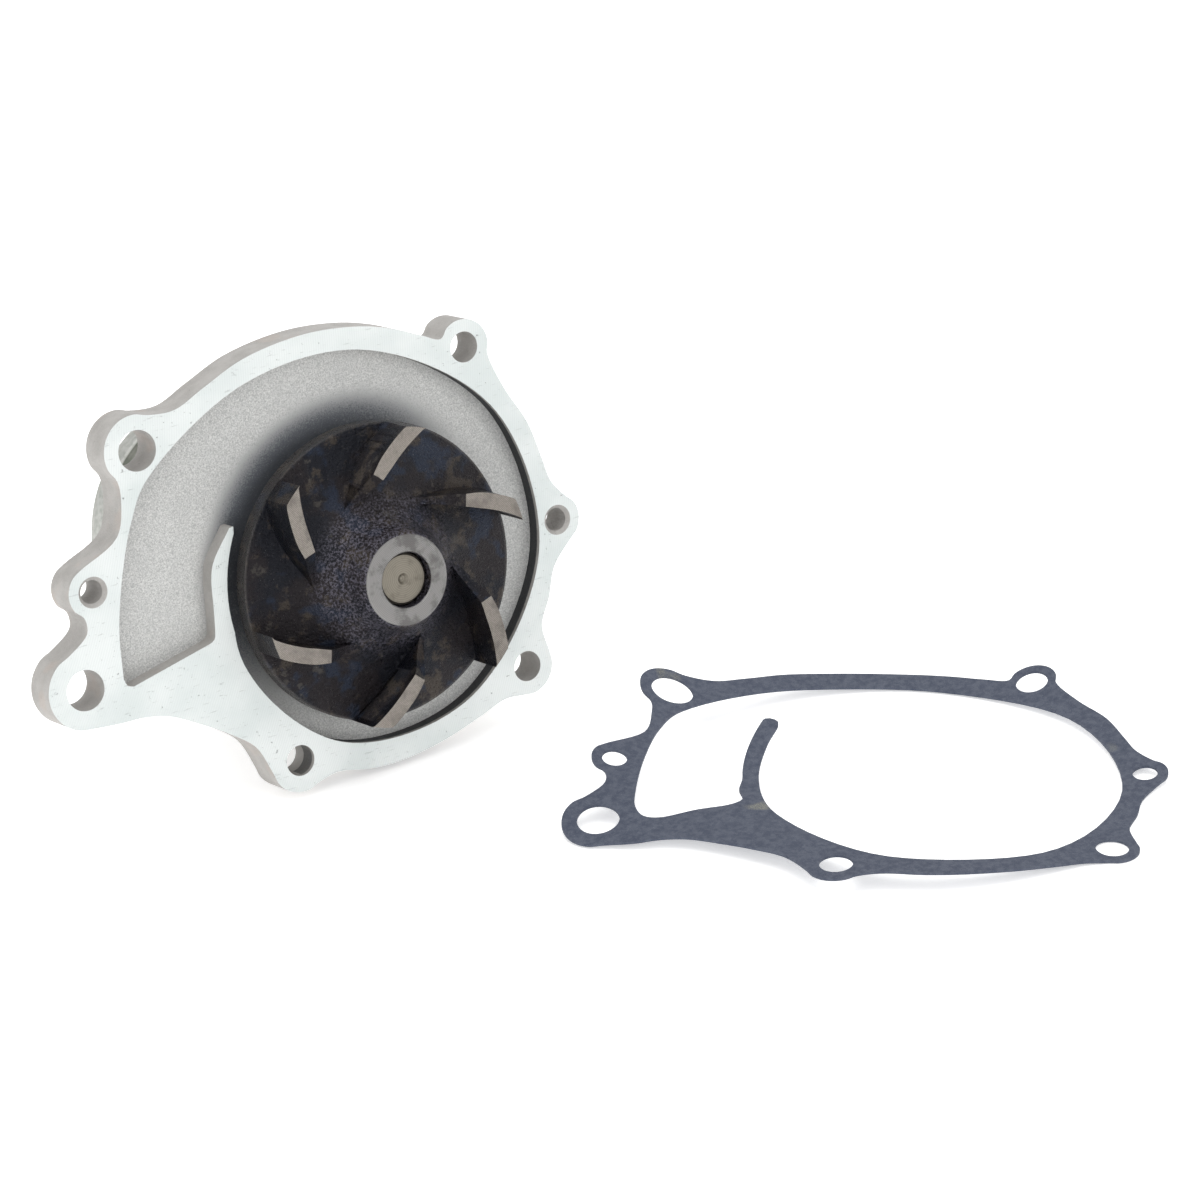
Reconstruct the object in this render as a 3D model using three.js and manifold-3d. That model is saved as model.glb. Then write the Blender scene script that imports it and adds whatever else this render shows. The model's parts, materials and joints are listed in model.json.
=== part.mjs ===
// Engine water pump with its loose paper gasket laid beside it. Millimetres, +Z up, floor at z = 0.
//
// The pump is drawn in its own frame and then leaned back onto its lowest ear and its drive hub:
// x to the right and y up in the mounting face, z along the shaft towards the impeller, face at z = 0.

import * as THREE from 'three';
import { mergeVertices } from 'three/addons/utils/BufferGeometryUtils.js';
import Module from 'manifold-3d';

const wasm = await Module();
wasm.setup();

// ---------------------------------------------------------------- driving dimensions

const LEAN_DEG = 12;
const FLANGE_THICK = 10.5;
const RECESS_DEPTH = 5;
const FIT_GAP = 0.3;

// Bolt and screw ears: centre, hole radius, ear radius, and the stretch of ear that stands proud.
const EARS = {
  right: { x: 60.5, y: -2, hole: 3.2, ear: 7.2, from: -62, to: 58, countersunk: true },
  upperRight: { x: 39.5, y: 52.5, hole: 4.25, ear: 7.8, from: -25, to: 150 },
  upperLeft: { x: -62, y: 49, hole: 5.5, ear: 9.8, from: 62, to: 222 },
  left: { x: -81.5, y: 15.5, hole: 3.2, ear: 7.2, from: 108, to: 238, countersunk: true },
  lowerLeft: { x: -88.5, y: -9.5, hole: 5.5, ear: 10.8, from: 104, to: 272 },
  bottomLeft: { x: -30, y: -46, hole: 4.25, ear: 8.9, from: 188, to: 302 },
  bottomRight: { x: 44, y: -40, hole: 4.25, ear: 8.2, from: 252, to: 378 },
};
const COUNTERSINK = 1;

// Volute: wall radius about the shaft against angle, from the cut-water tongue round to the outlet.
const VOLUTE = [[150, 44.1], [200, 44.6], [250, 47.6], [300, 50.2], [350, 54], [395, 56.8],
  [440, 59.6], [475, 65], [506, 73.1]];
const DISH_RADIUS = 43.4;
const DISH_DEPTH = 8;

const SEAL_BORE = 18.3;
const SEAL_BORE_END = -19;
const WEEP_BORE = 14;
const WEEP_RADIUS = 2.5;
const BEARING_SEAT_START = -26;
const NOSE_RADIUS = 24.5;
const NOSE_END = -76;
const RIB_THICK = 5;
const RIB_ANGLES = [-123, -42, 53, 141, 186];

const IMPELLER_RADIUS = 40.8;
const IMPELLER_RIM = [0.3, 4.65];
const IMPELLER_HUB_TOP = 20.4;
const IMPELLER_BORE = 7.5;
const VANE_COUNT = 6;
const VANE_TOP = 16.3;
const VANE_HALF = 2.15;

const SHAFT_FRONT = 7.2;
const SHAFT_REAR = 8;
const SHAFT_FRONT_END = 18.2;
const SHAFT_STEP = -24;

const BALL_RADIUS = 3.4;
const BALL_PITCH = 11.75;
const BALL_COUNT = 8;
const BALL_ROWS = { front: -38, rear: -64 };
const RING_OUTER = 18.7;
const RING_INNER = 15.5;
const BEARING_SPAN = [NOSE_END + FIT_GAP, BEARING_SEAT_START - FIT_GAP];
const BEARING_BORE = 19;

const HUB_RADIUS = 37.2;
const HUB_PLATE = 7.5;
const HUB_TAP = 3.4;
const HUB_TAP_CIRCLE = 27;

const GASKET_THICK = 0.7;
const FINGER_LIFT = 7;
const GASKET_TURN_DEG = -28.1;
const GASKET_PLACE = [105.9, -107.3];

const lean = THREE.MathUtils.degToRad(LEAN_DEG);
const lowEar = EARS.bottomLeft;
const AXIS_HEIGHT = (lowEar.ear - lowEar.y) * Math.cos(lean) + FLANGE_THICK * Math.sin(lean);
const HUB_BACK = -(AXIS_HEIGHT - HUB_RADIUS * Math.cos(lean)) / Math.sin(lean);

// ---------------------------------------------------------------- shapes and solids

const polar = (radius, deg, x = 0, y = 0) => {
  const a = THREE.MathUtils.degToRad(deg);
  return [x + radius * Math.cos(a), y + radius * Math.sin(a)];
};

function arc(radius, from, to, steps, x = 0, y = 0) {
  return Array.from({ length: steps + 1 }, (_, i) => polar(radius, from + ((to - from) * i) / steps, x, y));
}

function curveThrough(points, steps, closed = false) {
  const knots = points.map(([x, y]) => new THREE.Vector3(x, y, 0));
  const curve = new THREE.CatmullRomCurve3(knots, closed, 'centripetal');
  const sampled = curve.getPoints(steps).map((p) => [p.x, p.y]);
  return closed ? sampled.slice(0, -1) : sampled;
}

const shapeOf = (points) => new THREE.Shape(points.map(([x, y]) => new THREE.Vector2(x, y)));

function prism(points, low, high) {
  const geometry = new THREE.ExtrudeGeometry(shapeOf(points), { depth: high - low, bevelEnabled: false });
  return geometry.translate(0, 0, low);
}

// A turned solid about z. The profile holds [radius, z] points round the section, in either order.
function turned(profile, segments = 32) {
  const area = profile.reduce((sum, [r, z], i) => {
    const [r2, z2] = profile[(i + 1) % profile.length];
    return sum + r * z2 - r2 * z;
  }, 0);
  const ordered = area > 0 ? [...profile] : [...profile].reverse();
  if (ordered[0][0] > 0) ordered.push(ordered[0]);
  const points = ordered.map(([r, z]) => new THREE.Vector2(r, z));
  return new THREE.LatheGeometry(points, segments).rotateX(Math.PI / 2);
}

function rod(radius, low, high, x = 0, y = 0, segments = 20) {
  const geometry = new THREE.CylinderGeometry(radius, radius, high - low, segments);
  return geometry.rotateX(Math.PI / 2).translate(x, y, (low + high) / 2);
}

const washer = (inner, outer, low, high, segments = 32) => turned(
  [[inner, low], [outer, low], [outer, high], [inner, high]], segments);

function solid(geometry) {
  const bare = geometry.clone();
  bare.deleteAttribute('normal');
  bare.deleteAttribute('uv');
  const merged = mergeVertices(bare, 1e-4);
  const index = merged.index.array;
  const triangles = [];
  for (let i = 0; i < index.length; i += 3) {
    const [a, b, c] = [index[i], index[i + 1], index[i + 2]];
    if (a !== b && b !== c && c !== a) triangles.push(a, b, c);
  }
  return new wasm.Manifold(new wasm.Mesh({
    numProp: 3,
    vertProperties: new Float32Array(merged.attributes.position.array),
    triVerts: new Uint32Array(triangles),
  }));
}

function geometryOf(manifold) {
  const mesh = manifold.getMesh();
  const geometry = new THREE.BufferGeometry();
  geometry.setAttribute('position', new THREE.BufferAttribute(new Float32Array(mesh.vertProperties), 3));
  geometry.setIndex(new THREE.BufferAttribute(new Uint32Array(mesh.triVerts), 1));
  geometry.computeVertexNormals();
  return geometry;
}

const joined = (first, ...more) => more.reduce((whole, g) => whole.add(solid(g)), solid(first));
const cutBy = (whole, ...cutters) => cutters.reduce((left, g) => left.subtract(solid(g)), whole);

function finish(color, roughness, metalness) {
  return new THREE.MeshStandardMaterial({ color, roughness, metalness });
}

const castAluminium = () => finish(0xb9bab8, 0.55, 0.9);
const castIron = () => finish(0x2c292b, 0.6, 0.8);
const steel = () => finish(0x9a9a98, 0.3, 1);
const rubber = () => finish(0x1b1b1c, 0.85, 0);

const pump = new THREE.Group();
pump.rotation.x = Math.PI / 2 - lean;
pump.position.z = AXIS_HEIGHT;

function place(parent, name, geometry, material) {
  const mesh = new THREE.Mesh(geometry, material);
  mesh.name = name;
  parent.add(mesh);
  return mesh;
}

// ---------------------------------------------------------------- outlines shared by flange and gasket

function earArc(key, shrink = 0) {
  const { x, y, ear, from, to } = EARS[key];
  const steps = Math.max(3, Math.round((to - from) / 24));
  return arc(ear - shrink, from, to, steps, x, y);
}

// The mounting face's outline, counter-clockwise from the right ear.
function flangeOutline(shrink = 0) {
  const knots = [
    ...earArc('right', shrink), [60.2, 9.5], [58.6, 16], [55.7, 27.3], [50, 38.5],
    ...earArc('upperRight', shrink), [26.8, 58.9], [18, 62.9], [7, 66], [-9, 67.5], [-27.3, 65.3],
    [-40, 60.6], [-49.5, 56.9],
    ...earArc('upperLeft', shrink), [-69, 37.4], [-72, 28],
    ...earArc('left', shrink), [-85.2, 5.2],
    ...earArc('lowerLeft', shrink), [-80, -21], [-73, -21.4], [-66, -23.1], [-58, -27.4], [-50, -32.5],
    [-42.5, -38.6],
    ...earArc('bottomLeft', shrink), [-19.5, -52.4], [-8, -54.7], [2, -54.9], [15, -53], [27.5, -49.6],
    [35.5, -47.2],
    ...earArc('bottomRight', shrink), [50.6, -30], [54.3, -22.4], [57.3, -14.6],
  ];
  return curveThrough(knots, 140, true);
}

const voluteKnots = (inset) => VOLUTE.map(([deg, radius]) => polar(radius - inset, deg));

// The recess: round the volute from the tongue's tip, down the outlet's outer side, and back.
function recessOutline() {
  const sweep = [...voluteKnots(0), [-67.2, 30.9], [-72.5, 17.3], [-76.1, 2.9], [-77.2, -9.5]];
  const tongueSide = [[-76.4, -11.8], [-74.6, -12.3], [-50.8, -7.2], [-49.2, -6.4], [-48.7, -4.8],
    [-47.9, 2], [-47.2, 9.5], [-45.8, 14], [-39.4, 22]];
  return [...curveThrough(sweep, 56), ...tongueSide];
}

// The gasket's opening: the same run with soft corners, round a finger that covers the tongue.
function gasketOpening() {
  const sweep = [polar(43.8, 154), polar(43.9, 172), ...voluteKnots(0.4).slice(1), [-67.4, 30.9], [-73, 17.3],
    [-77, 2.9],
    [-78.2, -6], [-76.6, -10.4], [-72.4, -12], [-62, -9.9], [-52.8, -8.2], [-49.4, -5.6], [-49.6, 0]];
  const finger = [...arc(48.4, 174, 148, 5), ...arc(2.3, 124, -26, 4, ...polar(46.1, 144.5))];
  return curveThrough([...sweep, ...finger], 96, true);
}

// ---------------------------------------------------------------- pump body

function ribSolid(deg) {
  const section = [[20, -9], [50, -9], [50, -13], [25, -50], [20, -50]];
  const geometry = prism(section, -RIB_THICK / 2, RIB_THICK / 2).rotateX(Math.PI / 2);
  return geometry.rotateZ(THREE.MathUtils.degToRad(deg));
}

function bodyGeometry() {
  const nose = turned([[0, -9], [36, -9], [36, -15], [28, -23], [NOSE_RADIUS, -30],
    [NOSE_RADIUS, NOSE_END + 1], [NOSE_RADIUS - 1, NOSE_END], [0, NOSE_END]], 36);
  const shell = joined(prism(flangeOutline(), -FLANGE_THICK, 0), nose, ...RIB_ANGLES.map(ribSolid));
  const dish = turned([[0, 1], [DISH_RADIUS, 1], [DISH_RADIUS, -RECESS_DEPTH], [39, -6.2], [28, -DISH_DEPTH],
    [0, -DISH_DEPTH]], 40);
  const holes = Object.values(EARS).map((e) => rod(e.hole, -30, 5, e.x, e.y));
  const sinks = Object.values(EARS).filter((e) => e.countersunk).map((e) => turned(
    [[0, -COUNTERSINK], [e.hole, -COUNTERSINK], [e.hole + 2 * COUNTERSINK, COUNTERSINK], [0, COUNTERSINK]], 28)
    .translate(e.x, e.y, 0));
  const weepHole = new THREE.CylinderGeometry(WEEP_RADIUS, WEEP_RADIUS, 34, 16).translate(0, -27, -22.5);
  return geometryOf(cutBy(shell,
    prism(recessOutline(), -RECESS_DEPTH, 1),
    dish,
    rod(SEAL_BORE, SEAL_BORE_END, 0, 0, 0, 32),
    rod(WEEP_BORE, BEARING_SEAT_START - 1, SEAL_BORE_END + 1, 0, 0, 32),
    rod(BEARING_BORE, NOSE_END - 1, BEARING_SEAT_START, 0, 0, 32),
    weepHole,
    ...holes,
    ...sinks));
}

place(pump, 'pump_body', bodyGeometry(), castAluminium());

// ---------------------------------------------------------------- impeller

const vaneAngle = (s) => 117 - 47 * s ** 0.62;

function vaneOutline(turn) {
  const innerRadius = 21;
  const outerRadius = IMPELLER_RADIUS + 2;
  const steps = 7;
  const spine = Array.from({ length: steps + 1 }, (_, i) => {
    const s = i / steps;
    return polar(innerRadius + (outerRadius - innerRadius) * s, vaneAngle(s) + turn);
  });
  const side = (sign) => spine.map(([x, y], i) => {
    const [ax, ay] = spine[Math.max(i - 1, 0)];
    const [bx, by] = spine[Math.min(i + 1, steps)];
    const length = Math.hypot(bx - ax, by - ay);
    const half = VANE_HALF * Math.min(1, 0.35 + (2.4 * i) / steps) * sign;
    return [x - (half * (by - ay)) / length, y + (half * (bx - ax)) / length];
  });
  return [...side(-1), ...side(1).reverse()];
}

function impellerGeometry() {
  const [back, rim] = IMPELLER_RIM;
  const wheel = turned([[16, 4.1], [16, back], [IMPELLER_RADIUS, back], [IMPELLER_RADIUS, rim], [34, 4.9],
    [27, 6], [21.5, 8.2], [17.2, 11.6], [14.6, 15.4], [13.3, 18.6], [12.6, 19.9], [11.2, IMPELLER_HUB_TOP],
    [IMPELLER_BORE + 0.4, IMPELLER_HUB_TOP], [IMPELLER_BORE, IMPELLER_HUB_TOP - 0.4], [IMPELLER_BORE, 4.1]], 48);
  const limit = turned([[0, 2], [IMPELLER_RADIUS, 2], [IMPELLER_RADIUS, VANE_TOP], [28.3, VANE_TOP],
    [21, 8.4], [0, 8.4]], 48);
  const vanes = Array.from({ length: VANE_COUNT },
    (_, i) => prism(vaneOutline((i * 360) / VANE_COUNT), 2, VANE_TOP + 2));
  const trimmed = vanes.map((g) => solid(g).intersect(solid(limit)));
  return geometryOf(trimmed.reduce((whole, vane) => whole.add(vane), solid(wheel)));
}

place(pump, 'impeller', impellerGeometry(), castIron());

// ---------------------------------------------------------------- shaft and drive hub

place(pump, 'pump_shaft', turned([
  [0, HUB_BACK + 1], [SHAFT_REAR - 0.6, HUB_BACK + 1], [SHAFT_REAR, HUB_BACK + 1.6], [SHAFT_REAR, SHAFT_STEP],
  [SHAFT_FRONT, SHAFT_STEP + 0.8], [SHAFT_FRONT, SHAFT_FRONT_END - 0.6], [SHAFT_FRONT - 0.6, SHAFT_FRONT_END],
  [0, SHAFT_FRONT_END]]), steel());

function hubGeometry() {
  const front = HUB_BACK + HUB_PLATE;
  const blank = turned([[0, HUB_BACK - 2], [15, HUB_BACK - 2], [15, HUB_BACK], [HUB_RADIUS - 0.6, HUB_BACK],
    [HUB_RADIUS, HUB_BACK + 0.6], [HUB_RADIUS, front - 0.6], [HUB_RADIUS - 0.6, front], [17, front],
    [13.5, front + 4], [13.5, NOSE_END - 2], [0, NOSE_END - 2]], 48);
  const taps = [45, 135, 225, 315].map((deg) => rod(HUB_TAP, HUB_BACK - 5, HUB_BACK + 12,
    ...polar(HUB_TAP_CIRCLE, deg), 16));
  return geometryOf(cutBy(solid(blank), rod(SHAFT_REAR + FIT_GAP, HUB_BACK - 5, NOSE_END, 0, 0, 32), ...taps));
}

place(pump, 'drive_hub', hubGeometry(), castIron());

// ---------------------------------------------------------------- double-row bearing

place(pump, 'bearing_outer_ring', washer(RING_INNER, RING_OUTER, ...BEARING_SPAN), steel());

function cageGeometry(z) {
  const pockets = Array.from({ length: BALL_COUNT }, (_, i) => {
    const [x, y] = polar(BALL_PITCH, (i * 360) / BALL_COUNT);
    return new THREE.SphereGeometry(BALL_RADIUS + 0.5, 10, 6).translate(x, y, z);
  });
  return geometryOf(cutBy(solid(washer(10.8, 12.8, z - 5, z + 5, 24)), ...pockets));
}

for (const [row, z] of Object.entries(BALL_ROWS)) {
  for (let i = 0; i < BALL_COUNT; i += 1) {
    const ball = place(pump, `bearing_ball_${row}_${i + 1}`, new THREE.SphereGeometry(BALL_RADIUS, 8, 6), steel());
    ball.position.set(...polar(BALL_PITCH, (i * 360) / BALL_COUNT), z);
  }
  place(pump, `ball_cage_${row}`, cageGeometry(z), finish(0xd9cfae, 0.6, 0));
}
place(pump, 'grease_seal_front', washer(SHAFT_REAR + FIT_GAP, RING_INNER - FIT_GAP,
  BEARING_SEAT_START - 4.2, BEARING_SEAT_START - 2.2), rubber());
place(pump, 'grease_seal_rear', washer(SHAFT_REAR + FIT_GAP, RING_INNER - FIT_GAP, NOSE_END + 1.6,
  NOSE_END + 3.6), rubber());
place(pump, 'water_slinger', turned([[7.5, -22.2], [9, -22.2], [12.6, -21], [12.6, -20.2], [9, -21], [9, -19.6],
  [7.5, -19.6]]), rubber());

// ---------------------------------------------------------------- mechanical face seal

place(pump, 'seal_cup', turned([[8.8, -18.7], [18, -18.7], [18, -7.7], [20.6, -7.7], [20.6, -6.9], [17, -6.9],
  [17, -17.7], [8.8, -17.7]]), finish(0xb5903e, 0.35, 1));
place(pump, 'seal_bellows', turned([[9, -17.4], [12.6, -17.4], [12.6, -14.6], [11, -13.4], [12.6, -12.2],
  [12.6, -9.6], [16.4, -8.2], [16.4, -7.3], [11.6, -8.4], [10.2, -9.6], [9.4, -13.4], [9, -15]]), rubber());

class Helix extends THREE.Curve {
  getPoint(t, target = new THREE.Vector3()) {
    const turns = 3;
    const a = 2 * Math.PI * turns * t;
    return target.set(14.4 * Math.cos(a), 14.4 * Math.sin(a), -16.4 + 6.2 * t);
  }
}

function springGeometry() {
  const wire = shapeOf(arc(0.7, 0, 300, 5));
  return new THREE.ExtrudeGeometry(wire, { steps: 45, extrudePath: new Helix(), bevelEnabled: false });
}

place(pump, 'seal_spring', springGeometry(), steel());
place(pump, 'carbon_ring', turned([[9.2, -7.9], [11, -7.9], [14.2, -7], [14.2, -4.9], [12.6, -4.9], [12.6, -3.4],
  [10.4, -3.4], [10.4, -4.9], [9.2, -4.9]]), finish(0x2a2b2d, 0.4, 0.1));
place(pump, 'mating_ring', washer(8, 13.8, -3.1, 1.4), finish(0xe9e6dc, 0.25, 0));
place(pump, 'mating_ring_cup', turned([[8, 1.7], [14.1, 1.7], [14.1, -1.6], [15.7, -1.6], [15.7, 3.8], [8, 3.8]]),
  rubber());

// ---------------------------------------------------------------- gasket on the floor

// How far the loose sheet curls up from the floor at a place on it.
function curl(xMm, yMm) {
  const x = xMm / 60;
  const y = yMm / 60;
  const level = 0.64 - 3.26 * x - 5.4 * y + 2.32 * x * x + 1.09 * x * y + 1.78 * y * y;
  const angle = THREE.MathUtils.radToDeg(Math.atan2(yMm, xMm));
  const onFinger = Math.hypot(xMm, yMm) < 52 && angle > 120;
  const along = onFinger ? THREE.MathUtils.clamp((178 - angle) / 34, 0, 1) : 0;
  const tip = FINGER_LIFT * along ** 1.5;
  return Math.max(0, level + 1.67 * x ** 3 + 9.38 * x * x * y + 0.4 * x * y * y + 3.43 * y ** 3) + tip;
}

function gasketGeometry() {
  const sheet = shapeOf(flangeOutline(0.8));
  const loops = Object.values(EARS).map((e) => arc(e.hole + 0.2, 340, 0, 17, e.x, e.y));
  for (const points of [gasketOpening(), ...loops]) sheet.holes.push(shapeOf(points));
  const geometry = new THREE.ExtrudeGeometry(sheet, { depth: GASKET_THICK, bevelEnabled: false });
  const position = geometry.attributes.position;
  for (let i = 0; i < position.count; i += 1) {
    position.setZ(i, position.getZ(i) + curl(position.getX(i), position.getY(i)));
  }
  return geometry;
}

const gasket = place(new THREE.Group(), 'gasket', gasketGeometry(), finish(0x3c4455, 0.9, 0));
gasket.rotation.z = THREE.MathUtils.degToRad(GASKET_TURN_DEG);
gasket.position.set(...GASKET_PLACE, 0);

// ---------------------------------------------------------------- whole set, origin under its middle

const group = new THREE.Group();
group.add(pump, gasket);
group.updateMatrixWorld(true);
const box = new THREE.Box3().setFromObject(group, true);
group.position.set(-(box.min.x + box.max.x) / 2, -(box.min.y + box.max.y) / 2, -box.min.z);

export default group;
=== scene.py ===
import json
import math

import bmesh
import bpy
import numpy as np
from mathutils import Matrix, Vector
from mathutils.geometry import delaunay_2d_cdt


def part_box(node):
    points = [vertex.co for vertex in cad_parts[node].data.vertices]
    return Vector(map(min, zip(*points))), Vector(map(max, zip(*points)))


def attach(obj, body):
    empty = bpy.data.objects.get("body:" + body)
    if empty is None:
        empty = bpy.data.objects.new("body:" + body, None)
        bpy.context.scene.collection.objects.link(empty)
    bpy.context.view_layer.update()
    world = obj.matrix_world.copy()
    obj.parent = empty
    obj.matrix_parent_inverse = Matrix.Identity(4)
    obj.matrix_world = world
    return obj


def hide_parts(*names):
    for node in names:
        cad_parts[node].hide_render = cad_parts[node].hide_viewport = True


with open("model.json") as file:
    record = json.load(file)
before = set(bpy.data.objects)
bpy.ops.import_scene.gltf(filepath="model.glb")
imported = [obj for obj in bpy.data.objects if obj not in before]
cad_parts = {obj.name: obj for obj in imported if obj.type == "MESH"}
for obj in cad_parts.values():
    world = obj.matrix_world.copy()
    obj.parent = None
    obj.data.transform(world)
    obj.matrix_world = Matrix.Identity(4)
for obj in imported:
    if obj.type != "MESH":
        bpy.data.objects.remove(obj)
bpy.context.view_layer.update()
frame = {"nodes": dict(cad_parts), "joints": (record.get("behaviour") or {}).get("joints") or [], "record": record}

# ------------------------------------------------------------------ the pump's own frame
# x to the right and y up in the mounting face, z along the shaft, millimetres.

joints = {joint["name"]: joint for joint in frame["joints"]}
FOOT = Vector(joints["shaft_spin"]["pos_m"])
AXIS = Vector(joints["shaft_spin"]["axis"]).normalized()
ACROSS = Vector((1, 0, 0))
UP = AXIS.cross(ACROSS)
PUMP = Matrix.Translation(FOOT) @ Matrix((ACROSS, UP, AXIS)).transposed().to_4x4() @ Matrix.Scale(0.001, 4)

LEAN = math.asin(AXIS.z)
FLANGE_THICK = 10.5
RECESS_DEPTH = 5.0
TRIM = 0.12

# Ears: centre, hole radius, ear radius, first and last angle of the ear's own curve.
EARS = {
    "right": (60.5, -2, 3.2, 7.2, -62, 58),
    "upper_right": (39.5, 52.5, 4.25, 7.8, -25, 150),
    "upper_left": (-62, 49, 5.5, 9.8, 62, 222),
    "left": (-81.5, 15.5, 3.2, 7.2, 108, 238),
    "lower_left": (-88.5, -9.5, 5.5, 10.8, 104, 272),
    "bottom_left": (-30, -46, 4.25, 8.9, 188, 302),
    "bottom_right": (44, -40, 4.25, 8.2, 252, 378),
}
SUNK = ("right", "left")
VOLUTE = [(150, 44.1), (200, 44.6), (250, 47.6), (300, 50.2), (350, 54), (395, 56.8), (440, 59.6),
          (475, 65), (506, 73.1)]
RIB_ANGLES = (-123, -42, 53, 141, 186)
NOSE_RADIUS = 24.5
NOSE_END = -76.0
BEARING_SEAT = -26.0
DISH_RADIUS = 43.4
DISH_FLOOR = -8.0
SEAL_BORE = 18.3
SEAL_BORE_END = -19.0
WEEP_BORE = 14.0
WEEP_HOLE = 2.5
BEARING_BORE = 19.0
RIB_HALF = 2.5
COUNTERSINK = 1.0

WHEEL_RADIUS = 40.8
WHEEL_BACK = 0.3
WHEEL_TRIM = 0.05
WHEEL_BORE = 7.5
VANE_COUNT = 6
VANE_TOP = 16.3
VANE_HALF = 2.15
VANE_FOOT_RADIUS = 21.0
VANE_FOOT_TOP = 8.4
VANE_SHOULDER_RADIUS = 28.3
VANE_SLOPE = 7.3
VANE_RUN = 21.8

SHAFT_REAR = 8.0
SHAFT_FRONT = 7.2
SHAFT_END = 18.2
SHAFT_STEP = -24.0
PILOT_RADIUS = 15.0
TAP_RADIUS = 3.4
TAP_CIRCLE = 27.0
HUB_RADIUS = 37.2
HUB_PLATE = 7.5
AXIS_HEIGHT = (8.9 + 46) * math.cos(LEAN) + FLANGE_THICK * math.sin(LEAN)
HUB_BACK = -(AXIS_HEIGHT - HUB_RADIUS * math.cos(LEAN)) / math.sin(LEAN)
GASKET_THICK = 0.7
FINGER_LIFT = 7.0
GASKET_TURN = math.radians(-28.1)
GASKET_TRIM = 0.95
GASKET_PITCH = 2.6
CURL_EASE = 0.5

# The camera's place from the shaft's foot in the face, its line of sight and its upward direction.
CAMERA_OFFSET = Vector((-0.5744, -0.9992, 0.5396))
CAMERA_SIGHT = Vector((0.491, 0.7566, -0.4318))
CAMERA_UP = Vector((0.2602, 0.3456, 0.9015))
CAMERA_LENS = 141


# ------------------------------------------------------------------ outlines

def polar(radius, deg, x=0.0, y=0.0):
    a = math.radians(deg)
    return (x + radius * math.cos(a), y + radius * math.sin(a))


def arc(radius, start, end, steps, x=0.0, y=0.0):
    return [polar(radius, start + (end - start) * i / steps, x, y) for i in range(steps + 1)]


def curve_through(knots, per_span, closed=False):
    """A smooth curve through the knots, with the spacing of the knots evened out."""
    points = [np.array(k, float) for k in knots]
    count = len(points)
    spans = count if closed else count - 1
    run = []
    for i in range(spans):
        p1, p2 = points[i], points[(i + 1) % count]
        p0 = points[i - 1] if closed or i > 0 else 2 * p1 - p2
        p3 = points[(i + 2) % count] if closed or i + 2 < count else 2 * p2 - p1
        spans_beside = ((p0, p1), (p1, p2), (p2, p3))
        d0, d1, d2 = (max(np.linalg.norm(b - a) ** 0.5, 1e-4) for a, b in spans_beside)
        m1 = ((p1 - p0) / d0 - (p2 - p0) / (d0 + d1) + (p2 - p1) / d1) * d1
        m2 = ((p2 - p1) / d1 - (p3 - p1) / (d1 + d2) + (p3 - p2) / d2) * d1
        steps = max(1, min(per_span, int(np.linalg.norm(p2 - p1) / 0.8)))
        for t in np.arange(steps) / steps:
            run.append(tuple(p1 + m1 * t + (3 * (p2 - p1) - 2 * m1 - m2) * t ** 2
                             + (2 * (p1 - p2) + m1 + m2) * t ** 3))
    if not closed:
        run.append(tuple(points[-1]))
    return run


def ear_arc(key, shrink):
    x, y, _, ear, start, end = EARS[key]
    return arc(ear - shrink, start, end, max(3, round((end - start) / 24)), x, y)


def flange_outline(shrink):
    knots = [
        *ear_arc("right", shrink), (60.2, 9.5), (58.6, 16), (55.7, 27.3), (50, 38.5),
        *ear_arc("upper_right", shrink), (26.8, 58.9), (18, 62.9), (7, 66), (-9, 67.5), (-27.3, 65.3),
        (-40, 60.6), (-49.5, 56.9),
        *ear_arc("upper_left", shrink), (-69, 37.4), (-72, 28),
        *ear_arc("left", shrink), (-85.2, 5.2),
        *ear_arc("lower_left", shrink), (-80, -21), (-73, -21.4), (-66, -23.1), (-58, -27.4), (-50, -32.5),
        (-42.5, -38.6),
        *ear_arc("bottom_left", shrink), (-19.5, -52.4), (-8, -54.6), (2, -54.8), (15, -53), (27.5, -49.6),
        (35.5, -47.2),
        *ear_arc("bottom_right", shrink), (50.6, -30), (54.3, -22.4), (57.3, -14.6),
    ]
    return curve_through(knots, 6, closed=True)


def volute_knots(inset):
    return [polar(radius - inset, deg) for deg, radius in VOLUTE]


def recess_outline():
    sweep = volute_knots(0) + [(-67.2, 30.9), (-72.5, 17.3), (-76.1, 2.9), (-77.2, -9.5)]
    corner = curve_through([(-77.2, -9.5), (-76.4, -11.6), (-74.6, -12.3)], 3)[1:]
    foot = curve_through([(-50.8, -7.2), (-49.2, -6.4), (-48.7, -4.8), (-47.9, 2), (-47.2, 9.5), (-45.8, 14),
                          (-39.4, 22)], 5)
    return curve_through(sweep, 14) + corner + foot


def gasket_opening():
    sweep = [polar(43.8, 154), polar(43.9, 172), *volute_knots(0.4)[1:], (-67.4, 30.9), (-73, 17.3),
             (-77, 2.9), (-78.2, -6), (-76.6, -10.4), (-72.4, -12), (-62, -9.9), (-52.8, -8.2),
             (-49.4, -5.6), (-49.6, 0)]
    finger = arc(48.4, 174, 148, 5) + arc(2.3, 124, -26, 4, *polar(46.1, 144.5))
    return curve_through(sweep + finger, 8, closed=True)


# ------------------------------------------------------------------ building meshes

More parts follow.
